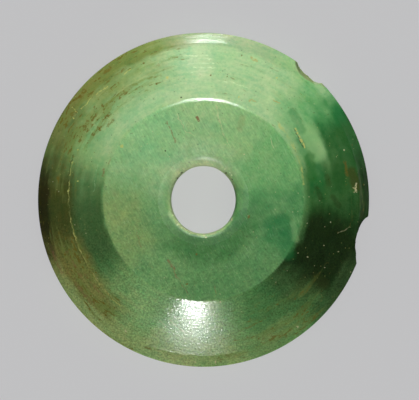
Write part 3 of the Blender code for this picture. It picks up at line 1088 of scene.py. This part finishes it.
def polish(bench, places, settings, surface):
    """Relief and roughness of the polish: grain, turning marks, unevenness and stray scratches."""
    grain = bench.noise(places.place, settings.grain_size, 1.0, 0.5)
    broad = bench.noise(places.place, 1.3 * MM, 1.0, 0.5)
    rings = bench.noise(places.rings(bench, 3.0, 0.28 * MM), 1.0, 1.0)
    rings = bench.maths("MULTIPLY", rings, places.on_flank)
    height = bench.maths("MULTIPLY", grain, settings.grain_relief)
    height = bench.maths("MULTIPLY_ADD", broad, settings.unevenness, height)
    height = bench.maths("MULTIPLY_ADD", rings, settings.ring_relief, height)
    for degrees in (-38, 24, -64):
        lines = bench.noise(bench.stretched(places.place, degrees, 3.0 * MM, 0.34 * MM), 1.0, 1.0)
        ridge = bench.maths("ABSOLUTE", bench.maths("SUBTRACT", lines, 0.5))
        line = bench.step(bench.maths("MINIMUM", ridge, 0.06), 0.0, 0.06, -settings.scratch_depth, 0.0)
        height = bench.maths("ADD", height, line)
    bump = bench.node("ShaderNodeBump")
    set_inputs(bump, {"Strength": 1.0, "Distance": 1.0})
    bench.put(bump.inputs["Height"], height)
    bench.put(surface.inputs["Normal"], bump.outputs["Normal"])
    rough = bench.maths("MULTIPLY_ADD", grain, 0.06, settings.roughness - 0.03)
    rough = bench.maths("MULTIPLY_ADD", places.broken, 0.35, rough)
    rough = bench.maths("MULTIPLY_ADD", places.inner, 0.32, rough)
    bench.put(surface.inputs["Roughness"], rough)


def new_surface(name, values):
    """A new material and its surface shader, with those values."""
    material = bpy.data.materials.new(name)
    material.use_nodes = True
    surface = material.node_tree.nodes["Principled BSDF"]
    set_inputs(surface, values)
    return material, surface


def stone_material(colours, settings):
    """The polished stone: its colours, what lies in it, and its polish."""
    material, surface = new_surface("polished_green_stone", {
        "IOR": 1.6,
        "Subsurface Weight": settings.glow,
        "Subsurface Radius": (0.6, 1.0, 0.5),
        "Subsurface Scale": 1.4 * MM,
    })
    bench = Bench(material.node_tree)
    places = StonePlaces(bench)
    colour = ground_colour(bench, places)
    for laid in (with_rust, with_specks, with_marks):
        colour = laid(bench, places, colours, colour)
    bench.put(surface.inputs["Base Color"], colour)
    polish(bench, places, settings, surface)
    return material


# Studio

def disc_mesh(name, profile, steps):
    """A round dish: a profile of (distance, height) carried once round, closed at its middle."""
    turn = np.linspace(0.0, 2 * np.pi, steps, endpoint=False)
    ring = np.stack([np.outer(np.cos(turn), profile[:, 0]), np.outer(np.sin(turn), profile[:, 0]),
                     np.broadcast_to(profile[:, 1], (steps, len(profile)))], axis=-1)
    count = len(profile)
    points = np.concatenate([[[0.0, 0.0, profile[0, 1]]], ring.reshape(-1, 3)])
    here = 1 + np.arange(steps)[:, None] * count + np.arange(count - 1)
    there = 1 + (np.arange(steps)[:, None] + 1) % steps * count + np.arange(count - 1)
    quads = np.stack([here, here + 1, there + 1, there], axis=-1).reshape(-1, 4)
    middle = np.stack([np.zeros(steps, int), here[:, 0], there[:, 0]], axis=-1)
    mesh = bpy.data.meshes.new(name)
    mesh.from_pydata(points.tolist(), [], quads.tolist() + middle.tolist())
    mesh.shade_smooth()
    return mesh


def in_scene(name, data):
    """A new object with that mesh, lamp or camera, put into the scene."""
    item = bpy.data.objects.new(name, data)
    bpy.context.scene.collection.objects.link(item)
    return item


def make_floor(studio):
    """The floor, a pale disc that glows evenly and curves up into a low wall far outside the picture."""
    first_ring, flat_radius, curve_radius, wall_height = 0.3, 1.2, 0.2, 0.5
    turn = np.linspace(0.0, np.pi / 2, 9)
    outwards = flat_radius + curve_radius * np.sin(turn)
    sweep = np.stack([outwards, curve_radius - curve_radius * np.cos(turn)], axis=-1)
    profile = np.concatenate([[[first_ring, 0.0]], sweep, [[flat_radius + curve_radius, wall_height]]])
    floor = in_scene("floor", disc_mesh("floor", profile, steps=96))
    material, surface = new_surface("pale_floor", {
        "Base Color": (0.25, 0.25, 0.255, 1.0),
        "Roughness": 1.0,
        "Specular IOR Level": 0.0,
        "Emission Color": (1.0, 1.0, 1.015, 1.0),
        "Emission Strength": studio.floor_glow,
    })
    floor.data.materials.append(material)
    floor.visible_glossy = False


def make_lamp(lamp, receivers):
    """One oval lamp that faces the spot of the stone that mirrors it."""
    azimuth, zenith = np.radians(lamp.azimuth), np.radians(lamp.zenith)
    level = np.array([np.cos(azimuth), np.sin(azimuth)])
    spot = Vector((*level * lamp.aim_radius * MM, lamp.aim_height * MM))
    towards = Vector((*level * np.sin(zenith), np.cos(zenith)))
    light = bpy.data.lights.new(lamp.name, "AREA")
    light.shape = "ELLIPSE"
    light.size, light.size_y = 2 * lamp.distance * np.tan(np.radians([lamp.across, lamp.tall]) / 2)
    light.energy = lamp.radiance * np.pi * light.size * light.size_y * np.pi / 4
    item = in_scene(lamp.name, light)
    item.location = spot + towards * lamp.distance
    item.rotation_euler = towards.to_track_quat("Z", "Y").to_euler()
    item.visible_camera = False
    item.visible_diffuse = lamp.kind != "sheen"
    item.visible_glossy = lamp.kind != "fill"
    if receivers is not None:
        item.light_linking.receiver_collection = receivers


def make_camera(studio):
    """The camera, straight above the whorl and set a little to its right, as in the photograph."""
    lens = bpy.data.cameras.new("camera")
    lens.lens = studio.lens
    lens.clip_end = 10.0
    distance = PICTURE_WIDTH * studio.picture_scale * studio.lens / lens.sensor_width
    rim_level = 2.6 * MM
    camera = in_scene("camera", lens)
    camera.location = (AXIS_LEFT * studio.picture_scale, -AXIS_UP * studio.picture_scale,
                       distance + rim_level)
    bpy.context.scene.camera = camera


class OBJECT_OT_whorl_stone(bpy.types.Operator):
    """Build the green stone whorl with its hole, its bevelled rim and its chips"""

    bl_idname = "object.whorl_stone"
    bl_label = "Green Stone Whorl"

    def execute(self, context):
        sizes = context.scene.whorl_sizes
        colours = context.scene.whorl_colours
        points, breaks = whorl_surface(sizes)
        mesh = grid_mesh("whorl_stone", points)
        paint(mesh, "stone_colour", painted_colour(points, breaks, colours, sizes.face_diameter / 2))
        paint(mesh, "stains", stain_amounts(points, breaks))
        mesh.materials.append(stone_material(colours, context.scene.whorl_polish))
        whorl = in_scene("whorl_stone", mesh)
        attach(whorl, "root")
        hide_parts(NODE)
        return {"FINISHED"}


class SCENE_OT_whorl_studio(bpy.types.Operator):
    """Lay the floor, hang the lamps and set the camera above the whorl"""

    bl_idname = "scene.whorl_studio"
    bl_label = "Studio"

    def execute(self, context):
        studio = context.scene.whorl_studio
        make_floor(studio)
        lit = bpy.data.collections.new("lit_by_lamps")
        lit.objects.link(bpy.data.objects["whorl_stone"])
        for lamp in LAMPS:
            make_lamp(lamp, lit)
        make_lamp(OVERHEAD, None)
        make_camera(studio)
        world = bpy.data.worlds.new("dim_room")
        world.use_nodes = True
        room = {"Color": (1.0, 1.0, 1.0, 1.0), "Strength": studio.room_light}
        set_inputs(world.node_tree.nodes["Background"], room)
        context.scene.world = world
        context.scene.view_settings.view_transform = "Standard"
        return {"FINISHED"}


class VIEW3D_PT_spindle_whorl(bpy.types.Panel):
    """Lists the whorl's builders"""

    bl_label = "Spindle Whorl"
    bl_space_type = "VIEW_3D"
    bl_region_type = "UI"
    bl_category = "Whorl"

    def draw(self, context):
        column = self.layout.column(align=True)
        column.operator(OBJECT_OT_whorl_stone.bl_idname)
        column.operator(SCENE_OT_whorl_studio.bl_idname)


SETTINGS = {
    "whorl_sizes": WhorlSizes, "whorl_colours": StoneColours,
    "whorl_polish": PolishSettings, "whorl_studio": StudioSettings,
}
CLASSES = (
    *SETTINGS.values(), OBJECT_OT_whorl_stone, SCENE_OT_whorl_studio, VIEW3D_PT_spindle_whorl,
)


def register():
    """Register the classes and give the scene its settings."""
    for kind in CLASSES:
        bpy.utils.register_class(kind)
    for name, kind in SETTINGS.items():
        setattr(bpy.types.Scene, name, PointerProperty(type=kind))


def unregister():
    """Take the settings and the classes away again."""
    for name in SETTINGS:
        delattr(bpy.types.Scene, name)
    for kind in reversed(CLASSES):
        bpy.utils.unregister_class(kind)


def main():
    """Build the whorl and its studio."""
    register()
    bpy.ops.object.whorl_stone()
    bpy.ops.scene.whorl_studio()


if __name__ == "__main__":
    main()
